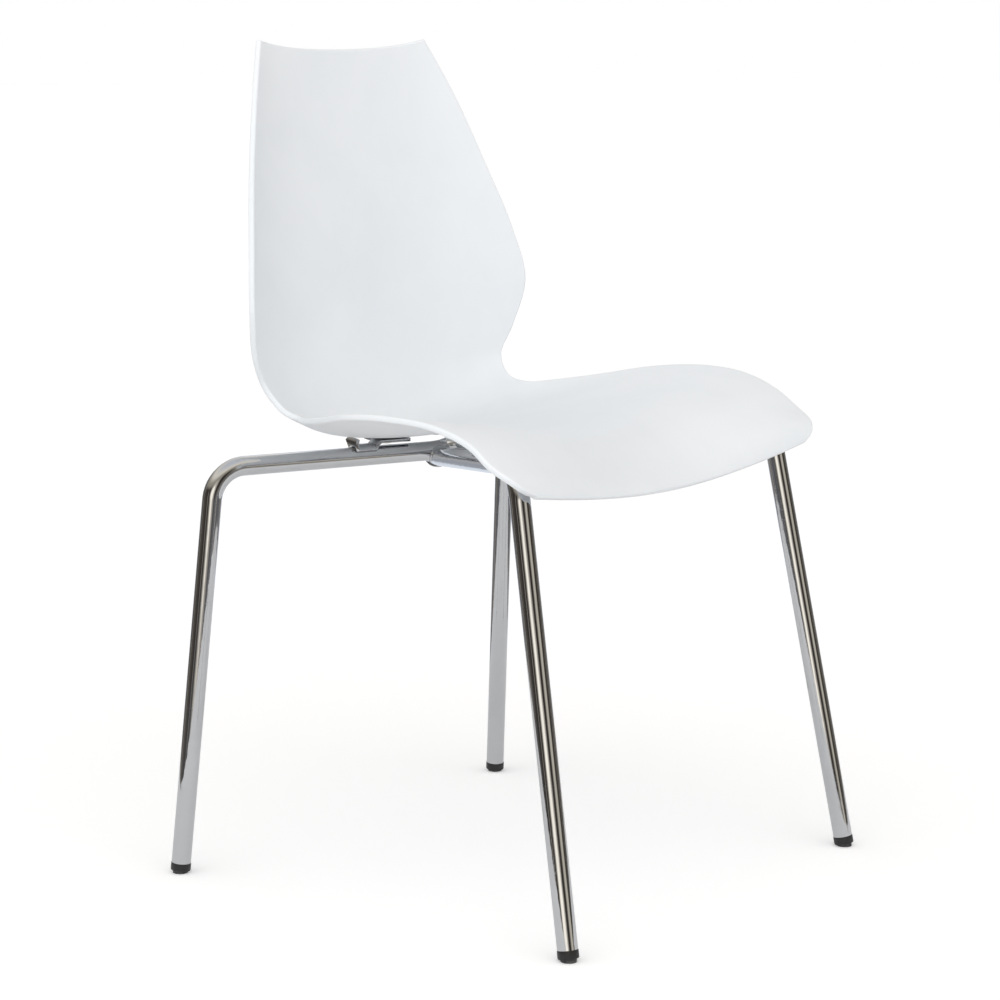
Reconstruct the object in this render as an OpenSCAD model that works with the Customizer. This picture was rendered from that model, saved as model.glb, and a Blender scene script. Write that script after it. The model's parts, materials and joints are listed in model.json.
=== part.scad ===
// Stacking chair: a one-piece moulded shell screwed to a welded frame of chromed round tube.
// The front of the chair faces -Y, up is +Z, and the floor is at z = 0.
// A part named left is on the sitter's left, which is +X.

/* [Shell] */
// Wall thickness of the moulded shell
shell_t = 6; // [5:0.5:7]
// Diameter of the screw bosses under the seat
boss_d = 16; // [14:1:18]

/* [Frame] */
// Outside diameter of the frame tube
tube_d = 19; // [18:0.5:20]
// Wall thickness of the frame tube
tube_wall = 1.5; // [1:0.25:2]
// Radius of each tube bend, measured to the centreline
bend_r = 33; // [30:1:36]
// Height of the rear tube's centreline where it runs under the seat
rear_arm_z = 399; // [396:1:401]
// Height of the corner where a front leg turns under the seat
front_corner_z = 431; // [427:1:432]

/* [Feet] */
// Half the distance between the rear feet
rear_foot_x = 248; // [244:1:250]
// Half the distance between the front feet
front_foot_x = 232; // [228:1:236]
// Distance of the rear feet behind the middle of the chair
rear_foot_y = 230; // [226:1:234]
// Distance of the front feet in front of the middle of the chair
front_foot_y = 231; // [226:1:234]
// Height of the visible cap of a glide, along its leg
glide_cap_h = 8; // [6:1:10]

/* [Seat fixing] */
// Thickness of the pressed seat brackets
plate_t = 3; // [2.5:0.5:3]
// Thread diameter of the seat screws
screw_d = 6; // [5:1:6]

/* [Hidden] */
$fn = 64;

shell_white = [0.90, 0.92, 0.94];
chrome = [0.78, 0.79, 0.80];
zinc = [0.66, 0.68, 0.71];
brass = [0.78, 0.63, 0.32];
black_plastic = [0.06, 0.06, 0.07];

// Cross-sections of the shell's upper face, from the top of the back to the front of the seat.
// Each is [y and z on the centreline, half width, y and z of the rim, fullness of the flanks].
STATIONS = [
    [234, 792, 124, 224, 802, -0.4],
    [226, 730, 151, 205, 744, -0.4],
    [217, 670, 175, 187, 680, -0.5],
    [208, 610, 199, 166, 605, -0.5],
    [200, 555, 209, 157, 552, -0.5],
    [193, 504, 198, 165, 504, -0.5],
    [186, 464, 182, 168, 475, -0.5],
    [172, 435, 175, 152, 455, -0.5],
    [149, 421, 178, 130, 450, -0.4],
    [115, 421, 192, 114, 451, -0.3],
    [63, 429, 221, 69, 458, -0.2],
    [2, 436, 244, 16, 468, 0],
    [-60, 442, 254, -42, 472, 0.2],
    [-100, 441, 252, -92, 468, 0.5],
    [-131, 432, 249, -131, 455, 0.9],
    [-156, 415, 250, -158, 437, 1.1],
    [-172, 400, 245, -176, 426, 0.9],
    [-179, 393, 234, -184, 416, 0.4],
    [-182, 389, 218, -186, 408, 0]
];
station_steps = 3;
half_columns = 9;

tube_r = tube_d / 2;
bore_r = tube_r - tube_wall;

// Feet and corners of the right-hand legs; the left-hand ones mirror them
rear_foot = [-rear_foot_x, rear_foot_y, 0];
rear_corner = [-225, 197, rear_arm_z];
rear_vertex = [0, 104, rear_arm_z];
front_foot = [-front_foot_x, -front_foot_y, 0];
front_corner = [-205, -151, front_corner_z];
front_arm_end = [-8, 97, 394];
// How far the front arms run into the rear tube before they are coped to it
cope_overrun = 14;
// Clearance left for weld metal where tubes meet
weld_gap = 0.1;
// How much bending draws the tube's wall thinner on each face, and where a bend fades into a straight
bend_draw = 0.05;
run_on = 0.5;

sole_h = 2.5;
sole_r = 7.5;
leg_start = sole_h + glide_cap_h;
plug_len = 22;

// Seat bracket: its place along the arm, measured from the corner, and its outline
rear_bracket_at = 148;
front_bracket_at = 120;
strip_half_w = 9;
ear_w = 25;
riser_at = 26;
tab_end = 60;
tab_w = 39;
screw_along = 46;
screw_across = 19;
insert_d = 9;
insert_len = 5;
washer_t = 1.2;
washer_d = 12;
head_h = 3.4;
head_d = 10.5;
// Levels above each arm's centreline: the top of the bracket's ear, the top of its tab,
// and the underside of the seat over the screw
rear_levels = [18, 15.5, 17];
front_levels = [25, 20.5, 25];

function unit(v) = v / norm(v);
function lerp(a, b, t) = a * (1 - t) + b * t;

// Point at t, from 0 to 1, between b and c on a centripetal spline through a, b, c and d
function spline(a, b, c, d, t) =
    let (
        k1 = sqrt(norm(b - a)),
        k2 = k1 + sqrt(norm(c - b)),
        k3 = k2 + sqrt(norm(d - c)),
        k = lerp(k1, k2, t),
        p = lerp(a, b, k / k1),
        q = lerp(b, c, (k - k1) / (k2 - k1)),
        r = lerp(c, d, (k - k2) / (k3 - k2)),
        u = lerp(p, q, k / k2),
        v = lerp(q, r, (k - k1) / (k3 - k1))
    ) lerp(u, v, t);

// ---- Moulded shell ----

last_station = len(STATIONS) - 1;
// The list of stations with one more beyond each end, so that the spline reaches both ends
PADDED = concat(
    [2 * STATIONS[0] - STATIONS[1]],
    STATIONS,
    [2 * STATIONS[last_station] - STATIONS[last_station - 1]]
);
SECTIONS = concat(
    [for (i = [0 : last_station - 1], k = [0 : station_steps - 1])
        spline(PADDED[i], PADDED[i + 1], PADDED[i + 2], PADDED[i + 3], k / station_steps)],
    [STATIONS[last_station]]
);
rows = len(SECTIONS);
columns = 2 * half_columns + 1;

function flank(u, fullness) = (1 + fullness) * u * u - fullness * pow(u, 4);
function section_point(s, u) = [
    s[2] * u,
    lerp(s[0], s[3], flank(u, s[5])),
    lerp(s[1], s[4], flank(u, s[5]))
];

UPPER = [for (s = SECTIONS) [for (j = [0 : columns - 1]) section_point(s, j / half_columns - 1)]];

function clamp(i, top) = max(0, min(top, i));
function surface_normal(i, j) = unit(cross(
    UPPER[i][clamp(j + 1, columns - 1)] - UPPER[i][clamp(j - 1, columns - 1)],
    UPPER[clamp(i + 1, rows - 1)][j] - UPPER[clamp(i - 1, rows - 1)][j]
));
// The outer face lies one wall thickness below and behind the upper face
LOWER = [for (i = [0 : rows - 1]) [for (j = [0 : columns - 1])
    UPPER[i][j] + shell_t * surface_normal(i, j)]];

function upper_id(i, j) = i * columns + j;
function lower_id(i, j) = rows * columns + i * columns + j;

module shell_wall() {
    points = concat([for (r = UPPER) each r], [for (r = LOWER) each r]);
    skins = [for (i = [0 : rows - 2], j = [0 : columns - 2]) each [
        [upper_id(i, j), upper_id(i + 1, j), upper_id(i + 1, j + 1)],
        [upper_id(i, j), upper_id(i + 1, j + 1), upper_id(i, j + 1)],
        [lower_id(i, j), lower_id(i + 1, j + 1), lower_id(i + 1, j)],
        [lower_id(i, j), lower_id(i, j + 1), lower_id(i + 1, j + 1)]
    ]];
    side_rims = [for (i = [0 : rows - 2]) each [
        [upper_id(i, 0), lower_id(i, 0), lower_id(i + 1, 0)],
        [upper_id(i, 0), lower_id(i + 1, 0), upper_id(i + 1, 0)],
        [upper_id(i, columns - 1), lower_id(i + 1, columns - 1), lower_id(i, columns - 1)],
        [upper_id(i, columns - 1), upper_id(i + 1, columns - 1), lower_id(i + 1, columns - 1)]
    ]];
    end_rims = [for (j = [0 : columns - 2]) each [
        [upper_id(0, j), lower_id(0, j + 1), lower_id(0, j)],
        [upper_id(0, j), upper_id(0, j + 1), lower_id(0, j + 1)],
        [upper_id(rows - 1, j), lower_id(rows - 1, j), lower_id(rows - 1, j + 1)],
        [upper_id(rows - 1, j), lower_id(rows - 1, j + 1), upper_id(rows - 1, j + 1)]
    ]];
    polyhedron(points = points, faces = concat(skins, side_rims, end_rims), convexity = 8);
}

// ---- Places along the arms ----

// Moves its children to a frame on an arm: +X along the arm, +Y level and across it
module on_arm(corner, end, along) {
    x = unit(end - corner);
    y = unit(cross([0, 0, 1], x));
    z = cross(x, y);
    o = corner + along * x;
    multmatrix([
        [x[0], y[0], z[0], o[0]],
        [x[1], y[1], z[1], o[1]],
        [x[2], y[2], z[2], o[2]]
    ]) children();
}

module at_rear_bracket() {
    on_arm(rear_corner, rear_vertex, rear_bracket_at) children();
}

module at_front_bracket() {
    on_arm(front_corner, front_arm_end, front_bracket_at) children();
}

// Moves its children to the top of a bracket's tab, over the screw
module at_screw(levels) {
    translate([screw_along, screw_across, levels[1]]) children();
}

// ---- Seat shell ----

// Boss between a bracket's tab and the shell, which it runs into
module boss(levels) {
    at_screw(levels) cylinder(h = levels[2] - levels[1] + 2, d = boss_d);
}

module insert_pocket(levels) {
    at_screw(levels) translate([0, 0, -1]) cylinder(h = insert_len + 1.2, d = insert_d);
}

module seat_shell() {
    color(shell_white) difference() {
        union() {
            shell_wall();
            for (side = [0, 1]) mirror([side, 0, 0]) {
                at_rear_bracket() boss(rear_levels);
                at_front_bracket() boss(front_levels);
            }
        }
        for (side = [0, 1]) mirror([side, 0, 0]) {
            at_rear_bracket() insert_pocket(rear_levels);
            at_front_bracket() insert_pocket(front_levels);
        }
    }
}

// ---- Tube frame ----

module ring(r_out, r_in) {
    difference() {
        circle(r = r_out);
        if (r_in > 0) circle(r = r_in);
    }
}

// Straight tube from a to b, run on a little way past each end that joins a bend
module straight(a, b, r_out, r_in, run_on_a, run_on_b) {
    z = unit(b - a);
    start = a - run_on_a * z;
    x = unit(cross(abs(z[2]) < 0.9 ? [0, 0, 1] : [0, 1, 0], z));
    y = cross(z, x);
    multmatrix([
        [x[0], y[0], z[0], start[0]],
        [x[1], y[1], z[1], start[1]],
        [x[2], y[2], z[2], start[2]]
    ]) linear_extrude(height = norm(b - a) + run_on_a + run_on_b) ring(r_out, r_in);
}

function turn(a, b, c) = acos(unit(b - a) * unit(c - b));
function trim(a, b, c) = bend_r * tan(turn(a, b, c) / 2);

// Bend at b between the straights that run from a and to c
module bend(a, b, c, r_out, r_in) {
    u = unit(b - a);
    w = unit(c - b);
    inward = unit(w - u * (u * w));
    centre = b - trim(a, b, c) * u + bend_r * inward;
    x = -inward;
    z = cross(x, u);
    multmatrix([
        [x[0], u[0], z[0], centre[0]],
        [x[1], u[1], z[1], centre[1]],
        [x[2], u[2], z[2], centre[2]]
    ]) rotate_extrude(angle = turn(a, b, c), $fn = 96)
        translate([bend_r, 0]) ring(r_out - bend_draw, r_in > 0 ? r_in + bend_draw : 0);
}

// Tube through a list of corner points, with a bend at each inner one
module bent_tube(path, r_out, r_in) {
    last = len(path) - 1;
    for (i = [0 : last - 1]) {
        dir = unit(path[i + 1] - path[i]);
        from = i == 0 ? path[0] : path[i] + dir * trim(path[i - 1], path[i], path[i + 1]);
        to = i == last - 1
            ? path[last]
            : path[i + 1] - dir * trim(path[i], path[i + 1], path[i + 2]);
        straight(from, to, r_out, r_in, i == 0 ? 0 : run_on, i == last - 1 ? 0 : run_on);
    }
    for (i = [1 : last - 1]) bend(path[i - 1], path[i], path[i + 1], r_out, r_in);
}

function flip(p) = [-p[0], p[1], p[2]];
function up_leg(foot, corner, distance) = foot + distance * unit(corner - foot);

rear_path = [
    up_leg(rear_foot, rear_corner, leg_start), rear_corner, rear_vertex,
    flip(rear_corner), flip(up_leg(rear_foot, rear_corner, leg_start))
];
front_path = [
    up_leg(front_foot, front_corner, leg_start), front_corner,
    front_arm_end + cope_overrun * unit(front_arm_end - front_corner)
];

module rear_leg_tube() {
    color(chrome) bent_tube(rear_path, tube_r, bore_r);
}

// The arm stops at the middle of the chair and is coped to fit the side of the rear tube
module front_tube() {
    color(chrome) difference() {
        bent_tube(front_path, tube_r, bore_r);
        bent_tube(rear_path, tube_r + weld_gap, 0);
        translate([-weld_gap, -front_foot_y, 0])
            cube([front_foot_y, 2 * front_foot_y, 2 * rear_arm_z]);
    }
}

module front_leg_tube_right() {
    front_tube();
}

module front_leg_tube_left() {
    mirror([1, 0, 0]) front_tube();
}

// ---- Seat brackets ----

// Pressed strip welded along the top of the arm. One end turns up as an ear against the seat;
// the other rises to a wide tab that carries the screw beside the tube.
module bracket(levels) {
    color(chrome) difference() {
        union() {
            translate([0, -strip_half_w, tube_r])
                cube([riser_at + plate_t, 2 * strip_half_w, plate_t]);
            translate([0, -strip_half_w, tube_r]) cube([plate_t, ear_w, levels[0] - tube_r]);
            translate([riser_at, -strip_half_w, tube_r])
                cube([plate_t, 2 * strip_half_w, levels[1] - tube_r]);
            translate([riser_at, -strip_half_w, levels[1] - plate_t])
                cube([tab_end - riser_at, tab_w, plate_t]);
        }
        at_screw(levels) translate([0, 0, -2 * plate_t]) cylinder(h = 3 * plate_t, d = screw_d + 0.6);
    }
}

module rear_bracket_right() { at_rear_bracket() bracket(rear_levels); }
module rear_bracket_left() { mirror([1, 0, 0]) rear_bracket_right(); }
module front_bracket_right() { at_front_bracket() bracket(front_levels); }
module front_bracket_left() { mirror([1, 0, 0]) front_bracket_right(); }

// ---- Threaded inserts, washers and screws ----

// Brass insert moulded into a boss, flush with its end
module insert(levels) {
    color(brass) at_screw(levels) difference() {
        cylinder(h = insert_len, d = insert_d);
        translate([0, 0, -1]) cylinder(h = insert_len + 2, d = screw_d);
    }
}

module rear_insert_right() { at_rear_bracket() insert(rear_levels); }
module rear_insert_left() { mirror([1, 0, 0]) rear_insert_right(); }
module front_insert_right() { at_front_bracket() insert(front_levels); }
module front_insert_left() { mirror([1, 0, 0]) front_insert_right(); }

// Plain washer under the tab
module washer(levels) {
    color(zinc) at_screw(levels) translate([0, 0, -plate_t - washer_t]) difference() {
        cylinder(h = washer_t, d = washer_d);
        translate([0, 0, -1]) cylinder(h = washer_t + 2, d = screw_d + 0.4);
    }
}

module rear_washer_right() { at_rear_bracket() washer(rear_levels); }
module rear_washer_left() { mirror([1, 0, 0]) rear_washer_right(); }
module front_washer_right() { at_front_bracket() washer(front_levels); }
module front_washer_left() { mirror([1, 0, 0]) front_washer_right(); }

// Screw with a domed head and a hexagon socket, driven up from below
module screw(levels) {
    shank = washer_t + plate_t + insert_len - 0.5;
    color(zinc) at_screw(levels) translate([0, 0, -plate_t - washer_t]) difference() {
        union() {
            cylinder(h = shank, d = screw_d);
            translate([0, 0, -head_h]) cylinder(h = head_h, d1 = 0.6 * head_d, d2 = head_d);
        }
        translate([0, 0, -head_h - 1]) cylinder(h = 3, d = 4, $fn = 6);
    }
}

module rear_screw_right() { at_rear_bracket() screw(rear_levels); }
module rear_screw_left() { mirror([1, 0, 0]) rear_screw_right(); }
module front_screw_right() { at_front_bracket() screw(front_levels); }
module front_screw_left() { mirror([1, 0, 0]) front_screw_right(); }

// ---- Glides ----

// Moulded foot pressed into the end of a leg: a plug in the bore, a cap and a smaller sole
module glide(foot, corner) {
    z = unit(corner - foot);
    x = unit(cross([0, 1, 0], z));
    y = cross(z, x);
    color(black_plastic) intersection() {
        multmatrix([
            [x[0], y[0], z[0], foot[0]],
            [x[1], y[1], z[1], foot[1]],
            [x[2], y[2], z[2], foot[2]]
        ]) union() {
            translate([0, 0, -5]) cylinder(h = 6 + sole_h, r = sole_r);
            translate([0, 0, sole_h]) cylinder(h = glide_cap_h, r = tube_r + 0.2);
            translate([0, 0, leg_start]) cylinder(h = plug_len, r = bore_r);
        }
        translate([foot[0] - tube_d, foot[1] - tube_d, 0]) cube([2 * tube_d, 2 * tube_d, 3 * tube_d]);
    }
}

module rear_glide_right() { glide(rear_foot, rear_corner); }
module rear_glide_left() { mirror([1, 0, 0]) rear_glide_right(); }
module front_glide_right() { glide(front_foot, front_corner); }
module front_glide_left() { mirror([1, 0, 0]) front_glide_right(); }

seat_shell();
rear_leg_tube();
front_leg_tube_left();
front_leg_tube_right();
rear_bracket_left();
rear_bracket_right();
front_bracket_left();
front_bracket_right();
rear_insert_left();
rear_insert_right();
front_insert_left();
front_insert_right();
rear_washer_left();
rear_washer_right();
front_washer_left();
front_washer_right();
rear_screw_left();
rear_screw_right();
front_screw_left();
front_screw_right();
rear_glide_left();
rear_glide_right();
front_glide_left();
front_glide_right();
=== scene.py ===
import json
import math

import bmesh
import bpy
import numpy as np
from mathutils import Matrix, Vector
from mathutils.bvhtree import BVHTree

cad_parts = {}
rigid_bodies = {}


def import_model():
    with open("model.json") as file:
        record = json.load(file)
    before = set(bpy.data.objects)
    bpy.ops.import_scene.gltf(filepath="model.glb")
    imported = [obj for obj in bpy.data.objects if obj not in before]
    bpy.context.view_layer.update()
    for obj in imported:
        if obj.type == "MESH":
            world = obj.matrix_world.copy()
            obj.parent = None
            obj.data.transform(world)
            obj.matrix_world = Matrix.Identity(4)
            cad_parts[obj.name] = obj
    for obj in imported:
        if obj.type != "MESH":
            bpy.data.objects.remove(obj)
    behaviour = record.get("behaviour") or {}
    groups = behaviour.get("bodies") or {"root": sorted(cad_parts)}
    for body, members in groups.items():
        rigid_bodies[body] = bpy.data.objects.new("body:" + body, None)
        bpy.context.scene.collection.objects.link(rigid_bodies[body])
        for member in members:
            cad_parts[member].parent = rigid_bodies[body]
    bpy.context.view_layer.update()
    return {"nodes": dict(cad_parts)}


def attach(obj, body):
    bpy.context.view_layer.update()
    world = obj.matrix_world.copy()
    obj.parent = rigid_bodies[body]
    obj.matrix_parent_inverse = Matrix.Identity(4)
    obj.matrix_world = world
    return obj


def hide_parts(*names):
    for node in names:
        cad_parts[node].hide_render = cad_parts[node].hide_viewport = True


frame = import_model()

# ---- Viewpoint ----
# The chair is seen from its front right corner, a little above the seat, through a long lens.

lens = bpy.data.cameras.new("camera")
lens.lens, lens.sensor_width = 103.5, 36
lens.clip_end = 60
camera = bpy.data.objects.new("camera", lens)
camera.location = (-2.1875, -1.6878, 0.8127)
camera.rotation_euler = (math.radians(90 - 9.323), 0, math.radians(-51.888))
bpy.context.collection.objects.link(camera)
bpy.context.scene.camera = camera

# ---- Studio ----
# A white floor under a plain soft studio. Polished metal sees the white floor near the chair, a
# dark room with screens past it, a pale sheet behind, a warm ceiling and two soft lamps.

bpy.context.scene.view_settings.view_transform = "Standard"


def add(tree, kind, inputs=None, **settings):
    """A node with its settings; an input is given a value, or the socket that feeds it."""
    made = tree.nodes.new(kind)
    for name, value in settings.items():
        setattr(made, name, value)
    for socket, value in (inputs or {}).items():
        if isinstance(value, bpy.types.NodeSocket):
            tree.links.new(value, made.inputs[socket])
        else:
            made.inputs[socket].default_value = value
    return made


def ramp(tree, factor, stops):
    """A smooth colour ramp with (place, colour) stops."""
    made = add(tree, "ShaderNodeValToRGB", {0: factor})
    made.color_ramp.interpolation = "EASE"
    elements = made.color_ramp.elements
    while len(elements) < len(stops):
        elements.new(0.5)
    for element, (place, colour) in zip(elements, stops, strict=True):
        element.position, element.color = place, (*colour, 1)
    return made.outputs[0]


floor_white, floor_bounce, floor_glow = (0.93, 0.93, 0.93, 1), (0.82, 0.82, 0.82, 1), 0.22


def floor_disc(name, radius, height):
    """A white disc that throws a little less light up at matt surfaces than it shows to the eye."""
    mesh = bpy.data.meshes.new(name)
    bm = bmesh.new()
    bmesh.ops.create_circle(bm, cap_ends=True, segments=96, radius=radius)
    bmesh.ops.translate(bm, verts=bm.verts, vec=(0, 0, height))
    bm.to_mesh(mesh)
    bm.free()
    disc = bpy.data.objects.new(name, mesh)
    bpy.context.collection.objects.link(disc)
    paint = bpy.data.materials.new(name)
    paint.use_nodes = True
    shader = paint.node_tree.nodes["Principled BSDF"]
    rays = add(paint.node_tree, "ShaderNodeLightPath").outputs
    bounced = add(paint.node_tree, "ShaderNodeMix", {
        0: rays["Is Diffuse Ray"], 6: floor_white, 7: floor_bounce
    }, data_type="RGBA").outputs[2]
    paint.node_tree.links.new(bounced, shader.inputs["Base Color"])
    shader.inputs["Roughness"].default_value = 1
    shader.inputs["Specular IOR Level"].default_value = 0
    shader.inputs["Emission Color"].default_value = (1, 1, 1, 1)
    glow = add(paint.node_tree, "ShaderNodeMapRange", {0: rays["Is Camera Ray"], 4: floor_glow})
    paint.node_tree.links.new(glow.outputs[0], shader.inputs["Emission Strength"])
    mesh.materials.append(paint)
    return disc


floor_disc("floor_near", 0.85, -0.0002)
far_floor = floor_disc("floor_far", 40, -0.0012)
far_floor.visible_glossy = False

world = bpy.data.worlds.new("studio")
bpy.context.scene.world = world
world.use_nodes = True
sky = world.node_tree
sky.nodes.clear()
way = add(sky, "ShaderNodeTexCoord").outputs["Generated"]
apart = add(sky, "ShaderNodeSeparateXYZ", {0: way})
height = apart.outputs["Z"]
# The share of a direction that points at the back wall, and at the soft lamp
wall_way = add(
    sky, "ShaderNodeVectorMath", {0: way, 1: (0.77, 0.64, 0)}, operation="DOT_PRODUCT"
).outputs["Value"]
lamp_way = add(
    sky, "ShaderNodeVectorMath", {0: way, 1: (-0.85, -0.52, 0.02)}, operation="DOT_PRODUCT"
).outputs["Value"]
room = ramp(
    sky,
    add(sky, "ShaderNodeMapRange", {0: height, 1: -0.3, 2: 1.0}).outputs[0],
    [
        (0.0, (0.16, 0.16, 0.17)),
        (0.15, (0.06, 0.053, 0.046)),
        (0.40, (0.045, 0.038, 0.032)),
        (0.56, (0.42, 0.38, 0.31)),
        (0.78, (0.95, 0.89, 0.78)),
        (1.0, (0.72, 0.75, 0.80)),
    ],
)
# The room's walls and screens, as soft upright bands
level_way = add(sky, "ShaderNodeCombineXYZ", {0: apart.outputs["X"], 1: apart.outputs["Y"]})
screens = add(sky, "ShaderNodeTexNoise", {
    "Vector": level_way.outputs[0], "Scale": 4.2, "Detail": 1.5
}).outputs[0]
screened = add(sky, "ShaderNodeMapRange", {0: screens, 1: 0.50, 2: 0.60, 4: 0.9}).outputs[0]
room = add(
    sky, "ShaderNodeMix", {0: screened, 6: room, 7: (0.40, 0.36, 0.31, 1)}, data_type="RGBA",
    blend_type="LIGHTEN",
).outputs[2]
wall = ramp(sky, wall_way, [(0.55, (0, 0, 0)), (0.95, (0.5, 0.5, 0.5))])
lamp = ramp(sky, lamp_way, [(0.90, (0, 0, 0)), (0.955, (0.25, 0.25, 0.25)), (0.985, (1, 1, 1))])
walled = add(
    sky, "ShaderNodeMix", {0: wall, 6: room, 7: (0.66, 0.70, 0.78, 1)}, data_type="RGBA"
).outputs[2]
lit = add(
    sky, "ShaderNodeMix", {0: lamp, 6: walled, 7: (1.5, 1.4, 1.22, 1)}, data_type="RGBA"
).outputs[2]
# A second, dimmer lamp stands in front of the chair
front_way = add(
    sky, "ShaderNodeVectorMath", {0: way, 1: (0.12, -0.98, 0.12)}, operation="DOT_PRODUCT"
).outputs["Value"]
front_lamp = ramp(sky, front_way, [(0.95, (0, 0, 0)), (0.985, (0.85, 0.85, 0.85))])
lit = add(
    sky, "ShaderNodeMix", {0: front_lamp, 6: lit, 7: (0.78, 0.72, 0.60, 1)}, data_type="RGBA"
).outputs[2]
# Light that falls on matt surfaces: even, and stronger from the chair's right
side = add(
    sky, "ShaderNodeVectorMath", {0: way, 1: (-0.90, -0.43, 0)}, operation="DOT_PRODUCT"
).outputs["Value"]
level = add(sky, "ShaderNodeMapRange", {0: side, 1: -1.0, 2: 1.0, 3: 0.30, 4: 1.95}).outputs[0]
tint = add(
    sky, "ShaderNodeMix", {0: height, 6: (0.98, 0.995, 1.02, 1), 7: (0.68, 0.665, 0.64, 1)},
    data_type="RGBA",
).outputs[2]
soft = add(
    sky, "ShaderNodeMix", {0: 1.0, 6: level, 7: tint}, data_type="RGBA", blend_type="MULTIPLY"
).outputs[2]
path = add(sky, "ShaderNodeLightPath")
seen = add(
    sky, "ShaderNodeMix", {0: path.outputs["Is Glossy Ray"], 6: soft, 7: lit}, data_type="RGBA"
).outputs[2]
seen = add(
    sky, "ShaderNodeMix", {0: path.outputs["Is Camera Ray"], 6: seen, 7: (1, 1, 1, 1)},
    data_type="RGBA",
).outputs[2]
background = add(sky, "ShaderNodeBackground", {"Color": seen, "Strength": 1.0})
add(sky, "ShaderNodeOutputWorld", {"Surface": background.outputs[0]})

overhead = bpy.data.lights.new("overhead", "AREA")
overhead.energy, overhead.size, overhead.color = 2.5, 2.4, (1, 0.98, 0.95)
overhead_lamp = bpy.data.objects.new("overhead", overhead)
overhead_lamp.location = (-0.9, -1.2, 2.6)
overhead_lamp.rotation_euler = Vector((0.9, 1.2, -2.2)).to_track_quat("-Z", "Y").to_euler()
overhead_lamp.visible_glossy = overhead_lamp.visible_camera = False
bpy.context.collection.objects.link(overhead_lamp)

# A pale sheet hung close behind the chair, seen only in the plating
sheet = bpy.data.lights.new("sheet", "AREA")
sheet.shape, sheet.size, sheet.size_y = "RECTANGLE", 1.5, 1.1
sheet.energy, sheet.color = 2.4, (0.86, 0.93, 1.0)
sheet_hung = bpy.data.objects.new("sheet", sheet)
sheet_hung.location = (0.72, 0.58, 0.50)
sheet_hung.rotation_euler = Vector((-0.787, -0.617, 0)).to_track_quat("-Z", "Z").to_euler()
sheet_hung.visible_diffuse = sheet_hung.visible_camera = False
bpy.context.collection.objects.link(sheet_hung)

# ---- Seat and back shell ----
# One injection moulding in white polypropylene, 6 mm thick with a rounded rim. It dips for the
# sitter, flares at the hips and rolls down at the front. Four bosses under it take the screws.

MM = 0.001
# [y and z on the centreline, half width, y and z of the rim, fullness of the flanks], in mm
stations = np.array([
    (234, 792, 124, 224, 802, -0.4),
    (226, 730, 151, 205, 744, -0.4),
    (217, 670, 175, 187, 680, -0.5),
    (208, 610, 199, 166, 605, -0.5),
    (200, 555, 209, 157, 552, -0.5),
    (193, 504, 198, 165, 504, -0.5),
    (186, 464, 182, 168, 475, -0.5),
    (172, 435, 175, 152, 455, -0.5),
    (149, 421, 178, 130, 450, -0.4),
    (115, 421, 192, 114, 451, -0.3),
    (63, 429, 221, 69, 458, -0.2),
    (2, 436, 244, 16, 468, 0),
    (-60, 442, 254, -42, 472, 0.2),
    (-100, 441, 252, -92, 468, 0.5),
    (-131, 432, 249, -131, 455, 0.9),
    (-156, 415, 250, -158, 437, 1.1),
    (-172, 400, 245, -176, 426, 0.9),
    (-179, 393, 234, -184, 416, 0.4),
    (-182, 389, 218, -186, 408, 0),
])
wall_thickness = 6.0
# Distances in from an edge at which the rounded rim is drawn
rim_steps = np.array([0, 0.03, 0.12, 0.3, 0.6, 1.0, 1.6, 2.3, 3.0])


def spline(points, at):
    """Centripetal spline through the points; 'at' counts along them."""
    p = np.vstack([2 * points[:1] - points[1:2], points, 2 * points[-1:] - points[-2:-1]])
    i = np.minimum(at.astype(int), len(points) - 2)
    a, b, c, d = (p[i + n] for n in range(4))
    k1, k2, k3 = np.cumsum([np.linalg.norm(v, axis=1) ** 0.5 for v in (b - a, c - b, d - c)], 0)
    k1, k2, k3 = k1[:, None], k2[:, None], k3[:, None]
    k = k1 + (k2 - k1) * (at - i)[:, None]

    def between(start, end, part):
        return start + (end - start) * part

    s, t = k / k1, (k - k1) / (k2 - k1)
    low = between(between(a, b, s), between(b, c, t), k / k2)
    high = between(between(b, c, t), between(c, d, (k - k2) / (k3 - k2)), (k - k1) / (k3 - k1))
    return between(low, high, t)


def section(row, across):
    """Points of one cross-section at the given places, from -1 at one rim to 1 at the other."""
    bow = (1 + row[5]) * across**2 - row[5] * across**4
    return np.stack([
        row[2] * across,
        row[0] + (row[3] - row[0]) * bow,
        row[1] + (row[4] - row[1]) * bow,
    ], 1)


def run(points):
    """Distance along a line of points, from its first."""
    return np.append(0, np.cumsum(np.linalg.norm(np.diff(points, axis=0), axis=1)))


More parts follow.
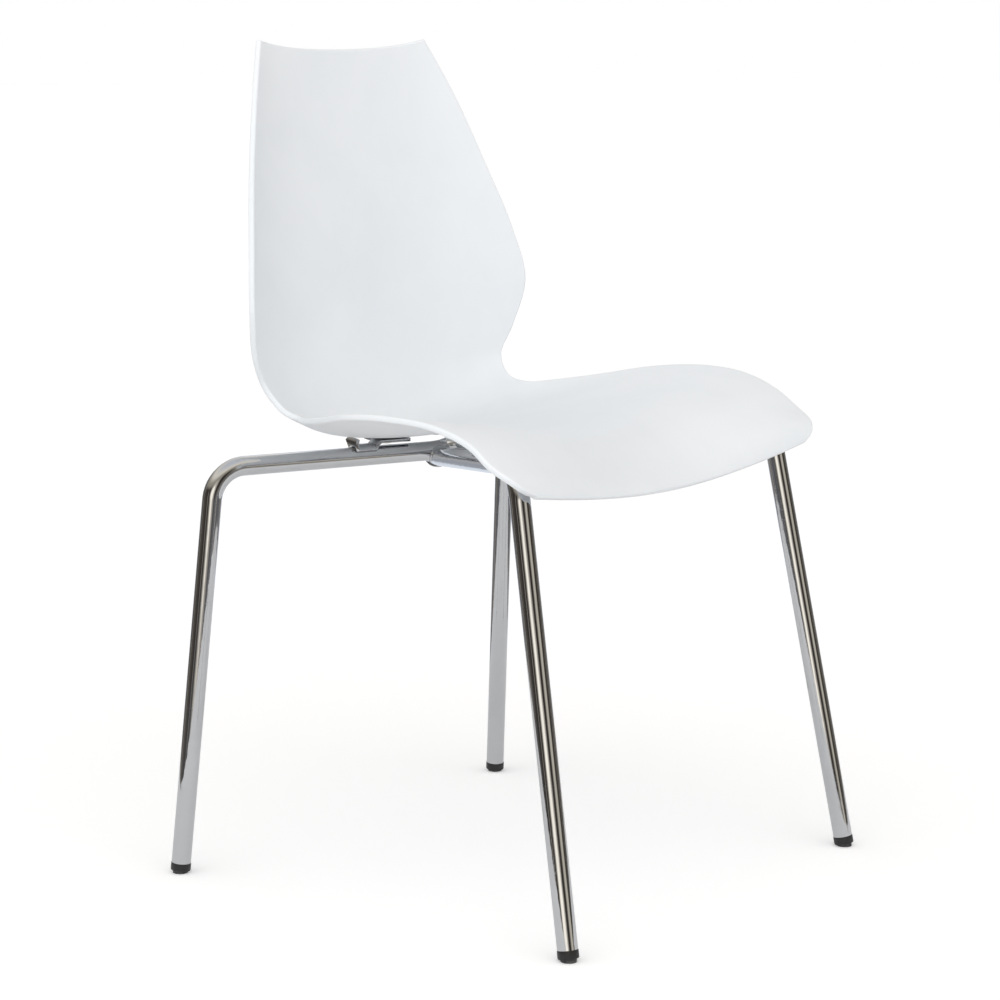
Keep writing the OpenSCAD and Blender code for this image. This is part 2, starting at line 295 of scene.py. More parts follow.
def shell_net():
    """The sitter's face of the shell as a flat net whose points know their place on it."""
    fine = np.linspace(0, len(stations) - 1, 2000)
    length = run(spline(stations, fine)[:, :2])
    down = np.concatenate([
        rim_steps, np.linspace(rim_steps[-1], length[-1] - rim_steps[-1], 190)[1:-1],
        length[-1] - rim_steps[::-1],
    ])
    rows = spline(stations, np.interp(down, length, fine))
    dense = np.linspace(0, 1, 300)
    lattice, places = [], []
    for row in rows:
        reach = run(section(row, dense))
        out = np.concatenate([
            np.linspace(0, reach[-1] - rim_steps[-1], 44)[:-1], reach[-1] - rim_steps[::-1],
        ])
        half = np.interp(out, reach, dense)
        across = np.concatenate([-half[:0:-1], half])
        lattice.append(section(row, across))
        places.append(np.stack([across, reach[-1] - np.concatenate([out[:0:-1], out])], 1))
    lattice, places = np.array(lattice), np.array(places)
    steps = np.linalg.norm(np.diff(lattice, axis=0), axis=2)
    along = np.concatenate([np.zeros((1, steps.shape[1])), np.cumsum(steps, 0)])
    inward = np.minimum(np.minimum(along, along[-1:] - along), places[:, :, 1])
    m, n = lattice.shape[:2]
    faces = [
        (i * n + j, i * n + j + 1, (i + 1) * n + j + 1, (i + 1) * n + j)
        for i in range(m - 1) for j in range(n - 1)
    ]
    mesh = bpy.data.meshes.new("seat_and_back")
    mesh.from_pydata(np.zeros((m * n, 3)), [], faces)
    values = {
        "centre": (np.stack([rows[:, 0] * 0, rows[:, 0], rows[:, 1]], 1)[:, None] * MM, 3),
        "rim": (rows[:, None, 2:5] * MM, 3),
        "fullness": (rows[:, None, 5:6], 1),
        "across": (places[:, :, :1], 1),
        "inward": (inward[:, :, None] * MM, 1),
    }
    for name, (value, size) in values.items():
        kind, key = ("FLOAT_VECTOR", "vector") if size == 3 else ("FLOAT", "value")
        data = mesh.attributes.new(name, kind, "POINT").data
        data.foreach_set(key, np.broadcast_to(value, (m, n, size)).astype(np.float32).ravel())
    return mesh


def geometry_tree(name, sizes):
    """A geometry node tree with a Geometry input and output and these named inputs."""
    tree = bpy.data.node_groups.new(name, "GeometryNodeTree")
    tree.interface.new_socket("Geometry", in_out="INPUT", socket_type="NodeSocketGeometry")
    for socket, kind in sizes.items():
        tree.interface.new_socket(socket, in_out="INPUT", socket_type=kind)
    tree.interface.new_socket("Geometry", in_out="OUTPUT", socket_type="NodeSocketGeometry")
    return tree, tree.nodes.new("NodeGroupInput").outputs


def finish_tree(tree, geometry, material):
    """Real mesh, with its material, as the tree's output."""
    real = add(tree, "GeometryNodeRealizeInstances", {0: geometry}).outputs[0]
    dressed = add(tree, "GeometryNodeSetMaterial", {0: real, 2: material}).outputs[0]
    add(tree, "NodeGroupOutput", {0: dressed})


def attribute(tree, name, kind="FLOAT"):
    return add(tree, "GeometryNodeInputNamedAttribute", {0: name}, data_type=kind).outputs[0]


def maths(tree, operation, *values):
    return add(tree, "ShaderNodeMath", dict(enumerate(values)), operation=operation).outputs[0]


def vectors(tree, operation, *values):
    made = add(tree, "ShaderNodeVectorMath", operation=operation)
    for place, value in enumerate(values):
        place = "Scale" if operation == "SCALE" and place == 1 else place
        if isinstance(value, bpy.types.NodeSocket):
            tree.links.new(value, made.inputs[place])
        else:
            made.inputs[place].default_value = value
    return made.outputs["Value" if operation in ("LENGTH", "DOT_PRODUCT") else "Vector"]


def grown(name, mesh, tree, values):
    """The piece that a geometry node tree makes of a mesh, as a plain mesh object."""
    source = bpy.data.objects.new(name + "_source", mesh)
    bpy.context.collection.objects.link(source)
    modifier = source.modifiers.new("grow", "NODES")
    modifier.node_group = tree
    for item in tree.interface.items_tree:
        if item.in_out == "INPUT" and item.name in values:
            modifier[item.identifier] = values[item.name]
    source.update_tag()
    depsgraph = bpy.context.evaluated_depsgraph_get()
    plain = bpy.data.meshes.new_from_object(source.evaluated_get(depsgraph))
    source.modifiers.clear()
    bpy.data.objects.remove(source)
    plain.name = name
    for extra in ("centre", "rim", "fullness", "across", "inward"):
        if extra in plain.attributes:
            plain.attributes.remove(plain.attributes[extra])
    piece = bpy.data.objects.new(name, plain)
    bpy.context.collection.objects.link(piece)
    return piece


wall_tree, given = geometry_tree("moulded_wall", {
    "Wall thickness": "NodeSocketFloat",
    "Rim squareness": "NodeSocketFloat",
    "Material": "NodeSocketMaterial",
})
across = attribute(wall_tree, "across")
square = maths(wall_tree, "MULTIPLY", across, across)
fullness = attribute(wall_tree, "fullness")
bow = maths(
    wall_tree, "MULTIPLY", square,
    maths(wall_tree, "MULTIPLY_ADD", maths(wall_tree, "SUBTRACT", 1.0, square), fullness, 1.0),
)
share = add(wall_tree, "ShaderNodeCombineXYZ", {0: across, 1: bow, 2: bow}).outputs[0]
centre = attribute(wall_tree, "centre", "FLOAT_VECTOR")
rim_span = vectors(
    wall_tree, "SUBTRACT", attribute(wall_tree, "rim", "FLOAT_VECTOR"), centre
)
laid = add(wall_tree, "GeometryNodeSetPosition", {
    0: given["Geometry"],
    2: vectors(wall_tree, "MULTIPLY_ADD", rim_span, share, centre),
}).outputs[0]
# Half the wall's thickness, falling to nothing at the rim along a squarish round
half_wall = maths(wall_tree, "MULTIPLY", given["Wall thickness"], 0.5)
depth = maths(
    wall_tree, "MINIMUM", maths(wall_tree, "DIVIDE", attribute(wall_tree, "inward"), half_wall), 1.0
)
power = given["Rim squareness"]
falling = maths(wall_tree, "POWER", maths(wall_tree, "SUBTRACT", 1.0, depth), power)
roundness = maths(
    wall_tree, "POWER", maths(wall_tree, "SUBTRACT", 1.0, falling),
    maths(wall_tree, "DIVIDE", 1.0, power),
)
half_here = maths(wall_tree, "MULTIPLY", half_wall, roundness)
outward = add(wall_tree, "GeometryNodeInputNormal").outputs[0]
skins = add(wall_tree, "GeometryNodeJoinGeometry")
for sign in (-1.0, 1.0):
    level = maths(wall_tree, "MULTIPLY_ADD", half_here, sign, half_wall)
    skin = add(wall_tree, "GeometryNodeSetPosition", {
        0: laid, 3: vectors(wall_tree, "SCALE", outward, level)
    }).outputs[0]
    if sign < 0:
        skin = add(wall_tree, "GeometryNodeFlipFaces", {0: skin}).outputs[0]
    wall_tree.links.new(skin, skins.inputs[0])
closed = add(wall_tree, "GeometryNodeMergeByDistance", {0: skins.outputs[0]})
closed.inputs["Distance"].default_value = 2e-6
smooth = add(wall_tree, "GeometryNodeSetShadeSmooth", {0: closed.outputs[0]}).outputs[0]
finish_tree(wall_tree, smooth, given["Material"])


def shader_group(name, inputs, outputs):
    tree = bpy.data.node_groups.new(name, "ShaderNodeTree")
    for socket, value in inputs.items():
        kind = "NodeSocketVector" if value is None else "NodeSocketFloat"
        made = tree.interface.new_socket(socket, in_out="INPUT", socket_type=kind)
        if value is not None:
            made.default_value = value
    for socket in outputs:
        tree.interface.new_socket(socket, in_out="OUTPUT", socket_type="NodeSocketFloat")
    return tree, tree.nodes.new("NodeGroupInput").outputs


# Fine moulded grain, and the slow waves of a cooled surface
grain_group, given = shader_group(
    "moulded_grain", {"Vector": None, "Grain size": 0.0006, "Wave size": 0.05}, ("Grain", "Waves")
)
fine = add(grain_group, "ShaderNodeTexNoise", {
    "Vector": given["Vector"],
    "Scale": maths(grain_group, "DIVIDE", 1.0, given["Grain size"]),
    "Detail": 2.0, "Roughness": 0.55,
}).outputs[0]
waves = add(grain_group, "ShaderNodeTexNoise", {
    "Vector": given["Vector"],
    "Scale": maths(grain_group, "DIVIDE", 1.0, given["Wave size"]),
    "Detail": 1.0, "Roughness": 0.4,
}).outputs[0]
add(grain_group, "NodeGroupOutput", {0: fine, 1: waves})

# Hairline scratches in all directions and soft rubbed patches, as handling leaves
wear_group, given = shader_group(
    "handling_wear", {"Vector": None, "Scratch spacing": 0.02, "Patch size": 0.12},
    ("Scratches", "Patches"),
)
patches = add(wear_group, "ShaderNodeTexNoise", {
    "Vector": given["Vector"],
    "Scale": maths(wear_group, "DIVIDE", 1.0, given["Patch size"]),
    "Detail": 4.0, "Roughness": 0.6, "Distortion": 0.6,
}).outputs[0]
found = None
for turn, stretch in ((0.5, 0.035), (1.7, 0.05), (2.6, 0.04)):
    turned = add(wear_group, "ShaderNodeVectorRotate", {
        "Vector": given["Vector"], "Axis": (0.3, 0.4, 0.87), "Angle": turn
    }).outputs[0]
    cells = add(wear_group, "ShaderNodeTexVoronoi", {
        "Vector": vectors(wear_group, "MULTIPLY", turned, (1.0, stretch, 1.0)),
        "Scale": maths(wear_group, "DIVIDE", 1.0, given["Scratch spacing"]),
        "Randomness": 1.0,
    }, feature="DISTANCE_TO_EDGE").outputs["Distance"]
    line = add(wear_group, "ShaderNodeMapRange", {0: cells, 1: 0.0, 2: 0.012, 3: 1.0, 4: 0.0})
    found = line.outputs[0] if found is None else maths(
        wear_group, "MAXIMUM", found, line.outputs[0]
    )
broken = add(wear_group, "ShaderNodeMapRange", {0: patches, 1: 0.5, 2: 0.68})
add(wear_group, "NodeGroupOutput", {
    0: maths(wear_group, "MULTIPLY", found, broken.outputs[0]), 1: patches
})


def placed(tree, group, **values):
    made = add(tree, "ShaderNodeGroup", node_tree=group)
    for name, value in values.items():
        socket = name.replace("_", " ")
        if isinstance(value, bpy.types.NodeSocket):
            tree.links.new(value, made.inputs[socket])
        else:
            made.inputs[socket].default_value = value
    return made.outputs


def new_material(name):
    material = bpy.data.materials.new(name)
    material.use_nodes = True
    tree = material.node_tree
    return material, tree, tree.nodes["Principled BSDF"].inputs


def own_place(tree):
    return add(tree, "ShaderNodeTexCoord").outputs["Object"]


def spread(tree, value, low, high, start=0.0, end=1.0):
    """The value's run from start to end, spread over low to high."""
    return add(
        tree, "ShaderNodeMapRange", {0: value, 1: start, 2: end, 3: low, 4: high}
    ).outputs[0]


def blend_colour(tree, factor, first, second):
    return add(
        tree, "ShaderNodeMix", {0: factor, 6: (*first, 1), 7: (*second, 1)}, data_type="RGBA"
    ).outputs[2]


white_plastic, tree, shader = new_material("white_polypropylene")
place = own_place(tree)
grain = placed(tree, grain_group, Vector=place, Grain_size=0.0007, Wave_size=0.06)
wear = placed(tree, wear_group, Vector=place, Scratch_spacing=0.03, Patch_size=0.16)
tree.links.new(
    blend_colour(
        tree, spread(tree, wear["Patches"], 0, 1, 0.35, 0.7), (0.80, 0.825, 0.85), (0.84, 0.86, 0.88)
    ),
    shader["Base Color"],
)
rough = maths(
    tree, "ADD",
    spread(tree, wear["Patches"], 0.34, 0.44, 0.3, 0.7),
    spread(tree, wear["Scratches"], 0.0, -0.08),
)
tree.links.new(
    maths(tree, "ADD", rough, spread(tree, grain["Grain"], -0.03, 0.03)), shader["Roughness"]
)
shader["IOR"].default_value = 1.49
waved = add(tree, "ShaderNodeBump", {
    "Strength": 0.12, "Distance": 0.002, "Height": grain["Waves"]
}).outputs[0]
grained = add(tree, "ShaderNodeBump", {
    "Strength": 0.10, "Distance": 0.0001, "Height": grain["Grain"], "Normal": waved
}).outputs[0]
tree.links.new(
    add(tree, "ShaderNodeBump", {
        "Strength": 0.08, "Distance": 0.00005, "Height": wear["Scratches"], "Normal": grained
    }, invert=True).outputs[0],
    shader["Normal"],
)

shell = grown("seat_and_back", shell_net(), wall_tree, {
    "Wall thickness": wall_thickness * MM, "Rim squareness": 2.6, "Material": white_plastic,
})
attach(shell, "root")
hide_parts("seat_shell")

# ---- Frame tubes ----
# Steel tube, 19 mm outside, bent cold and chrome plated. One long tube makes both rear legs and
# the arms between them; each front leg and its arm is a tube of its own, coped to the rear one.

tube_radius, bend_radius, leg_start = 9.5 * MM, 33 * MM, 10.5 * MM
rear_foot, rear_corner = Vector((-0.248, 0.230, 0)), Vector((-0.225, 0.197, 0.399))
rear_vertex = Vector((0, 0.104, 0.399))
front_foot, front_corner = Vector((-0.232, -0.231, 0)), Vector((-0.205, -0.151, 0.431))
front_arm_end = Vector((-0.008, 0.097, 0.394))


def flip(point):
    """The mirror image of a point on the other side of the chair."""
    return Vector((-point.x, point.y, point.z))


def up_leg(foot, corner, distance):
    return foot + (corner - foot).normalized() * distance


tube_tree, given = geometry_tree("bent_tube", {
    "Tube radius": "NodeSocketFloat",
    "Bend radius": "NodeSocketFloat",
    "Steps per bend": "NodeSocketInt",
    "Sides": "NodeSocketInt",
    "Material": "NodeSocketMaterial",
})
line = add(tube_tree, "GeometryNodeMeshToCurve", {0: given["Geometry"]}).outputs[0]
bent = add(tube_tree, "GeometryNodeFilletCurve", {
    "Curve": line, "Count": given["Steps per bend"], "Radius": given["Bend radius"],
    "Limit Radius": True,
}, mode="POLY").outputs[0]
measured = add(tube_tree, "GeometryNodeStoreNamedAttribute", {
    "Geometry": bent, "Name": "along",
    "Value": add(tube_tree, "GeometryNodeSplineParameter").outputs["Length"],
}, data_type="FLOAT", domain="POINT").outputs[0]
ring = add(tube_tree, "GeometryNodeCurvePrimitiveCircle", {
    "Resolution": given["Sides"], "Radius": given["Tube radius"]
}).outputs[0]
turned = add(tube_tree, "GeometryNodeStoreNamedAttribute", {
    "Geometry": ring, "Name": "round",
    "Value": add(tube_tree, "GeometryNodeInputPosition").outputs[0],
}, data_type="FLOAT_VECTOR", domain="POINT").outputs[0]
swept = add(tube_tree, "GeometryNodeCurveToMesh", {
    "Curve": measured, "Profile Curve": turned, "Fill Caps": True
}).outputs[0]
smooth = add(tube_tree, "GeometryNodeSetShadeSmooth", {0: swept}).outputs[0]
finish_tree(tube_tree, smooth, given["Material"])


def plated(name, colour, base_rough, line_depth=0):
    """Chrome plate: a near mirror over faint waves, hairlines and hazy patches.

    Where the steel was drawn, fine lines run along it too.
    """
    material, tree, shader = new_material(name)
    place = own_place(tree)
    wear = placed(tree, wear_group, Vector=place, Scratch_spacing=0.018, Patch_size=0.05)
    tree.links.new(
        blend_colour(
            tree, spread(tree, wear["Patches"], 0, 1, 0.3, 0.75), colour,
            tuple(0.93 * c for c in colour),
        ),
        shader["Base Color"],
    )
    shader["Metallic"].default_value = 1.0
    tree.links.new(
        maths(
            tree, "ADD", spread(tree, wear["Patches"], base_rough, base_rough + 0.07, 0.35, 0.8),
            spread(tree, wear["Scratches"], 0.0, 0.12),
        ),
        shader["Roughness"],
    )
    waves = add(tree, "ShaderNodeTexNoise", {
        "Vector": place, "Scale": 55.0, "Detail": 1.0
    }).outputs[0]
    surface = add(tree, "ShaderNodeBump", {
        "Strength": 0.22, "Distance": 0.0006, "Height": waves
    }).outputs[0]
    if line_depth:
        around = add(tree, "ShaderNodeAttribute", attribute_name="round").outputs["Vector"]
        along = add(tree, "ShaderNodeAttribute", attribute_name="along").outputs["Fac"]
        stretched = add(
            tree, "ShaderNodeCombineXYZ", {2: maths(tree, "MULTIPLY", along, 0.02)}
        ).outputs[0]
        lines = add(tree, "ShaderNodeTexNoise", {
            "Vector": vectors(tree, "ADD", around, stretched), "Scale": 900.0, "Detail": 2.0
        }).outputs[0]
        surface = add(tree, "ShaderNodeBump", {
            "Strength": line_depth, "Distance": 0.00003, "Height": lines, "Normal": surface
        }).outputs[0]
    tree.links.new(
        add(tree, "ShaderNodeBump", {
            "Strength": 0.1, "Distance": 0.00002, "Height": wear["Scratches"], "Normal": surface
        }, invert=True).outputs[0],
        shader["Normal"],
    )
    return material


chrome = plated("chrome_plated_tube", (0.60, 0.61, 0.63), 0.035, 0.25)


def bent_tube(name, points, radius=tube_radius):
    mesh = bpy.data.meshes.new(name)
    mesh.from_pydata(points, [(i, i + 1) for i in range(len(points) - 1)], [])
    return grown(name, mesh, tube_tree, {
        "Tube radius": radius, "Bend radius": bend_radius, "Steps per bend": 28, "Sides": 56,
        "Material": chrome,
    })


def recalculate(mesh):
    bm = bmesh.new()
    bm.from_mesh(mesh)
    bmesh.ops.remove_doubles(bm, verts=bm.verts, dist=1e-6)
    bmesh.ops.recalc_face_normals(bm, faces=bm.faces)
    bm.to_mesh(mesh)
    bm.free()


rear_line = [up_leg(rear_foot, rear_corner, leg_start), rear_corner, rear_vertex]
rear_line += [flip(p) for p in rear_line[1::-1]]
rear_tube = bent_tube("rear_legs_and_arms", rear_line)
cope_gap, arm_overrun = 0.1 * MM, 14 * MM
rear_cutter = bent_tube("rear_cutter", rear_line, tube_radius + cope_gap)
arm_way = (front_arm_end - front_corner).normalized()
front_tubes = []
for side in ("right", "left"):
    points = [
        up_leg(front_foot, front_corner, leg_start), front_corner,
        front_arm_end + arm_overrun * arm_way,
    ]
    if side == "left":
        points = [flip(p) for p in points]
    tube = bent_tube(f"front_leg_and_arm_{side}", points)
    cope = tube.modifiers.new("cope", "BOOLEAN")
    cope.object, cope.operation, cope.solver = rear_cutter, "DIFFERENCE", "EXACT"
    coped = bpy.data.meshes.new_from_object(
        tube.evaluated_get(bpy.context.evaluated_depsgraph_get())
    )
    tube.modifiers.clear()
    bm = bmesh.new()
    bm.from_mesh(coped)
    outwards = -1 if side == "right" else 1
    bmesh.ops.bisect_plane(
        bm, geom=bm.verts[:] + bm.edges[:] + bm.faces[:], dist=1e-7,
        plane_co=(outwards * cope_gap, 0, 0), plane_no=(outwards, 0, 0), clear_inner=True,
    )
    bmesh.ops.holes_fill(bm, edges=[e for e in bm.edges if e.is_boundary])
    bmesh.ops.recalc_face_normals(bm, faces=bm.faces)
    bm.to_mesh(coped)
    bm.free()
    coped.set_sharp_from_angle(angle=math.radians(40))
    tube.data = coped
    front_tubes.append(tube)
bpy.data.objects.remove(rear_cutter)
for piece, nodes in (
    (rear_tube, "rear_leg_tube"), (front_tubes[0], "front_leg_tube_right"),
    (front_tubes[1], "front_leg_tube_left"),
):
    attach(piece, "root")
    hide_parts(nodes)

# ---- Welds between the tubes ----
# Each front arm is welded all round its coped end to the side of the rear tube. The beads are
# plated over with the rest of the frame, so they are bright but rippled.

weld_metal = plated("plated_weld", (0.52, 0.53, 0.55), 0.14)
ripple_tree, given = geometry_tree("weld_bead", {
    "Bead radius": "NodeSocketFloat",
    "Ripple": "NodeSocketFloat",
    "Ripple length": "NodeSocketFloat",
    "Seed": "NodeSocketFloat",
    "Material": "NodeSocketMaterial",
})
seam = add(ripple_tree, "GeometryNodeResampleCurve", {
    0: add(ripple_tree, "GeometryNodeMeshToCurve", {0: given["Geometry"]}).outputs[0],
    "Count": 110,
}).outputs[0]
bead_ring = add(ripple_tree, "GeometryNodeCurvePrimitiveCircle", {
    "Resolution": 12, "Radius": given["Bead radius"]
}).outputs[0]
bead = add(ripple_tree, "GeometryNodeCurveToMesh", {
    "Curve": seam, "Profile Curve": bead_ring
}).outputs[0]
lumps = add(ripple_tree, "ShaderNodeTexNoise", {
    "W": given["Seed"], "Scale": maths(ripple_tree, "DIVIDE", 1.0, given["Ripple length"]),
    "Detail": 2.0,
}, noise_dimensions="4D").outputs[0]
rippled = add(ripple_tree, "GeometryNodeSetPosition", {
    0: bead,
    3: vectors(
        ripple_tree, "SCALE", add(ripple_tree, "GeometryNodeInputNormal").outputs[0],
        maths(
            ripple_tree, "MULTIPLY", maths(ripple_tree, "SUBTRACT", lumps, 0.5), given["Ripple"]
        ),
    ),
}).outputs[0]
finish_tree(
    ripple_tree, add(ripple_tree, "GeometryNodeSetShadeSmooth", {0: rippled}).outputs[0],
    given["Material"],
)
rear_surface = BVHTree.FromPolygons(
    [v.co for v in rear_tube.data.vertices], [p.vertices for p in rear_tube.data.polygons]
)
side_way = arm_way.cross(Vector((0, 0, 1))).normalized()
up_way = side_way.cross(arm_way)
# Where the arm passes under the rear tube the seam stops short of the other arm's
seam_stop = -0.6 * MM
for side in ("right", "left"):
    seam_points = []
    for turn in np.linspace(0, 2 * math.pi, 72, endpoint=False):
        edge = (side_way * math.cos(turn) + up_way * math.sin(turn)) * tube_radius
        start = front_arm_end - arm_way * 0.08 + edge
        hit = rear_surface.ray_cast(start, arm_way)[0]
        if hit is None or hit.x > seam_stop:
            hit = start + arm_way * ((seam_stop - start.x) / arm_way.x)
        seam_points.append(hit if side == "right" else flip(hit))
    mesh = bpy.data.meshes.new("weld")
    count = len(seam_points)
    mesh.from_pydata(seam_points, [(i, (i + 1) % count) for i in range(count)], [])
    weld = grown(f"arm_weld_{side}", mesh, ripple_tree, {
        "Bead radius": 1.5 * MM, "Ripple": 1.1 * MM, "Ripple length": 3.2 * MM,
        "Seed": 2.0 if side == "right" else 5.0, "Material": weld_metal,
    })
    recalculate(weld.data)
    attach(weld, "root")

# ---- Seat brackets ----
# A pressed steel strip over each arm, welded to it and plated with it. One end turns up as an ear
# against the seat; the other rises to a wide tab with the screw beside the tube.

plate = 3 * MM


def arm_frame(corner, end, along):
    """A frame on an arm: X along it, Y level and across it."""
    x = (end - corner).normalized()
    y = Vector((0, 0, 1)).cross(x).normalized()
    z = x.cross(y)
    origin = corner + x * along
    return Matrix((
        (x.x, y.x, z.x, origin.x), (x.y, y.y, z.y, origin.y), (x.z, y.z, z.z, origin.z),
        (0, 0, 0, 1),
    ))


# Each bracket's frame, and its levels above the tube's centreline: the ear's top and the tab's top
fixings = {
    "rear": (arm_frame(rear_corner, rear_vertex, 0.148), 18.0 * MM, 15.5 * MM),
    "front": (arm_frame(front_corner, front_arm_end, 0.120), 25.0 * MM, 20.5 * MM),
}
plated_steel = plated("plated_pressed_steel", (0.58, 0.59, 0.61), 0.07)


def rounded_path(points, radius, steps=6):
    """The points of a bent line with its corners rounded, each with how far through it lies."""
    path = [(points[0], 0.0)]
    for i in range(1, len(points) - 1):
        a, b, c = (Vector(p) for p in points[i - 1 : i + 2])
        into, out = (b - a).normalized(), (c - b).normalized()
        reach = radius * math.tan(into.angle(out) / 2)
        start, end = b - into * reach, b + out * reach
        for n in range(steps + 1):
            t = n / steps
            bent = start.lerp(b, t).lerp(b.lerp(end, t), t)
            path.append(((bent.x, bent.y), i - 0.5 + t))
    path.append((points[-1], len(points) - 1.0))
    return path


def bracket(name, ear_top, tab_top):
    """The strip in its arm's own frame."""
    low, high = tube_radius + plate / 2, tab_top - plate / 2
    lean = 4 * MM
    path = rounded_path(
        [(lean / 2, ear_top), (-lean / 2, low), (0.0235 - lean / 2, low),
         (0.0235 + lean / 2, high), (0.060, high)], 2.6 * MM,
    )
    # Extra rows round off the tab's end
    for x in (0.0360, 0.0420, 0.0480, 0.0540, 0.0565, 0.0582, 0.0592):
        path.insert(-1, ((x, high), 3.6))
    rows, columns = [], 22
    for (x, z), stage in path:
        near, far = -0.009, 0.009
        if stage < 1:
            far = 0.016 - 0.007 * max(0.0, stage - 0.5) * 2
        if stage > 3:
            far = 0.009 + 0.021 * min(1.0, (stage - 3) / 0.5)
        if x > 0.055:
            short = 5 * MM - math.sqrt(max(0.0, (5 * MM) ** 2 - (x - 0.055) ** 2))
            near, far = near + short, far - short
        if stage < 0.5:
            short = 2.5 * MM * max(0.0, 1 - (ear_top - z) / (2.5 * MM)) ** 2
            near, far = near + short, far - short
        hug = max(0.0, 1 - abs(stage - 1.5) / 0.62) if stage < 2.2 else 0.0
        hug = min(1.0, hug * 2.6)
        row = []
        for y in np.linspace(near, far, columns):
            dip = low - math.sqrt(max(0.0, low**2 - min(abs(y), low * 0.97) ** 2))
            row.append(Vector((x, y, z - hug * dip)))
        rows.append(row)
    mesh = bpy.data.meshes.new(name)
    faces = [
        (i * columns + j, (i + 1) * columns + j, (i + 1) * columns + j + 1, i * columns + j + 1)
        for i in range(len(rows) - 1) for j in range(columns - 1)
    ]
    mesh.from_pydata([p for row in rows for p in row], [], faces)
    mesh.materials.append(plated_steel)
    blank = bpy.data.objects.new(name, mesh)
    bpy.context.collection.objects.link(blank)
    wall = blank.modifiers.new("wall", "SOLIDIFY")
    wall.thickness, wall.offset = plate, 0
    edge = blank.modifiers.new("edge", "BEVEL")
    edge.width, edge.segments, edge.limit_method = 0.5 * MM, 2, "ANGLE"
    edge.angle_limit = math.radians(55)
    solid = bpy.data.meshes.new_from_object(
        blank.evaluated_get(bpy.context.evaluated_depsgraph_get())
    )
    bpy.data.objects.remove(blank)
    return solid


for end, (matrix, ear_top, tab_top) in fixings.items():
    for side in ("right", "left"):
        mesh = bracket(f"{end}_seat_bracket_{side}", ear_top, tab_top)
        mesh.transform(matrix)
        if side == "left":
            mesh.transform(Matrix.Scale(-1, 4, (1, 0, 0)))
        recalculate(mesh)
        for face in mesh.polygons:
            face.use_smooth = True
        mesh.set_sharp_from_angle(angle=math.radians(50))
        piece = bpy.data.objects.new(f"{end}_seat_bracket_{side}", mesh)
        bpy.context.collection.objects.link(piece)
        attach(piece, "root")
        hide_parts(f"{end}_bracket_{side}")

# ---- Seat screws, washers and inserts ----
# At each bracket a zinc-plated screw with a domed head and hexagon socket goes up through a plain
# washer and the tab into a brass insert moulded into the shell's boss.

turned_tree, given = geometry_tree("turned_parts", {
    "Places": "NodeSocketObject",
    "Steps round": "NodeSocketInt",
    "Material": "NodeSocketMaterial",
})
profile = given["Geometry"]
count = add(turned_tree, "GeometryNodeAttributeDomainSize", {0: profile}).outputs["Point Count"]
stride = maths(turned_tree, "ADD", given["Steps round"], 1.0)
lathe = add(turned_tree, "GeometryNodeMeshGrid", {
    "Size X": 1.0, "Size Y": 1.0, "Vertices X": count, "Vertices Y": stride
}).outputs[0]
index = add(turned_tree, "GeometryNodeInputIndex").outputs[0]
step = maths(
    turned_tree, "FLOOR", maths(turned_tree, "DIVIDE", maths(turned_tree, "ADD", index, 0.5), stride)
)
spin = maths(
    turned_tree, "MULTIPLY",
    maths(turned_tree, "SUBTRACT", index, maths(turned_tree, "MULTIPLY", step, stride)),
    maths(turned_tree, "DIVIDE", 2 * math.pi, given["Steps round"]),
)
taken = add(turned_tree, "GeometryNodeSampleIndex", {
    "Geometry": profile, "Value": add(turned_tree, "GeometryNodeInputPosition").outputs[0],
    "Index": step,
}, data_type="FLOAT_VECTOR", domain="POINT").outputs[0]
outline = add(turned_tree, "ShaderNodeSeparateXYZ", {0: taken}).outputs
# A profile point's Y says how far it is turned (0) or hexagonal (1)
hexagon = maths(
    turned_tree, "DIVIDE", 1.0,
    maths(
        turned_tree, "COSINE",
        maths(
            turned_tree, "SUBTRACT",
            maths(turned_tree, "FLOORED_MODULO", spin, math.pi / 3), math.pi / 6,
        ),
    ),
)
stretch = maths(
    turned_tree, "MULTIPLY_ADD", maths(turned_tree, "SUBTRACT", hexagon, 1.0), outline["Y"], 1.0
)
radius = maths(turned_tree, "MULTIPLY", outline["X"], stretch)
round_place = add(turned_tree, "ShaderNodeCombineXYZ", {
    0: maths(turned_tree, "MULTIPLY", radius, maths(turned_tree, "COSINE", spin)),
    1: maths(turned_tree, "MULTIPLY", radius, maths(turned_tree, "SINE", spin)),
    2: outline["Z"],
}).outputs[0]
blank = add(turned_tree, "GeometryNodeSetPosition", {0: lathe, 2: round_place}).outputs[0]
joined = add(turned_tree, "GeometryNodeMergeByDistance", {0: blank})
joined.inputs["Distance"].default_value = 2e-6
smooth = add(turned_tree, "GeometryNodeSetShadeSmooth", {0: joined.outputs[0]}).outputs[0]
points = add(turned_tree, "GeometryNodeObjectInfo", {0: given["Places"]}).outputs["Geometry"]
stood = add(turned_tree, "GeometryNodeInstanceOnPoints", {
    "Points": points, "Instance": smooth,
    "Rotation": add(
        turned_tree, "FunctionNodeEulerToRotation",
        {0: attribute(turned_tree, "turn", "FLOAT_VECTOR")},
    ).outputs[0],
}).outputs[0]
finish_tree(turned_tree, stood, given["Material"])


def places(frames):
    """An object whose points hold the place and turn of each frame."""
    mesh = bpy.data.meshes.new("places")
    mesh.from_pydata([f.translation for f in frames], [], [])
    turns = mesh.attributes.new("turn", "FLOAT_VECTOR", "POINT").data
    for turn, f in zip(turns, frames, strict=True):
        turn.vector = f.to_euler()
    made = bpy.data.objects.new("places", mesh)
    bpy.context.collection.objects.link(made)
    return made


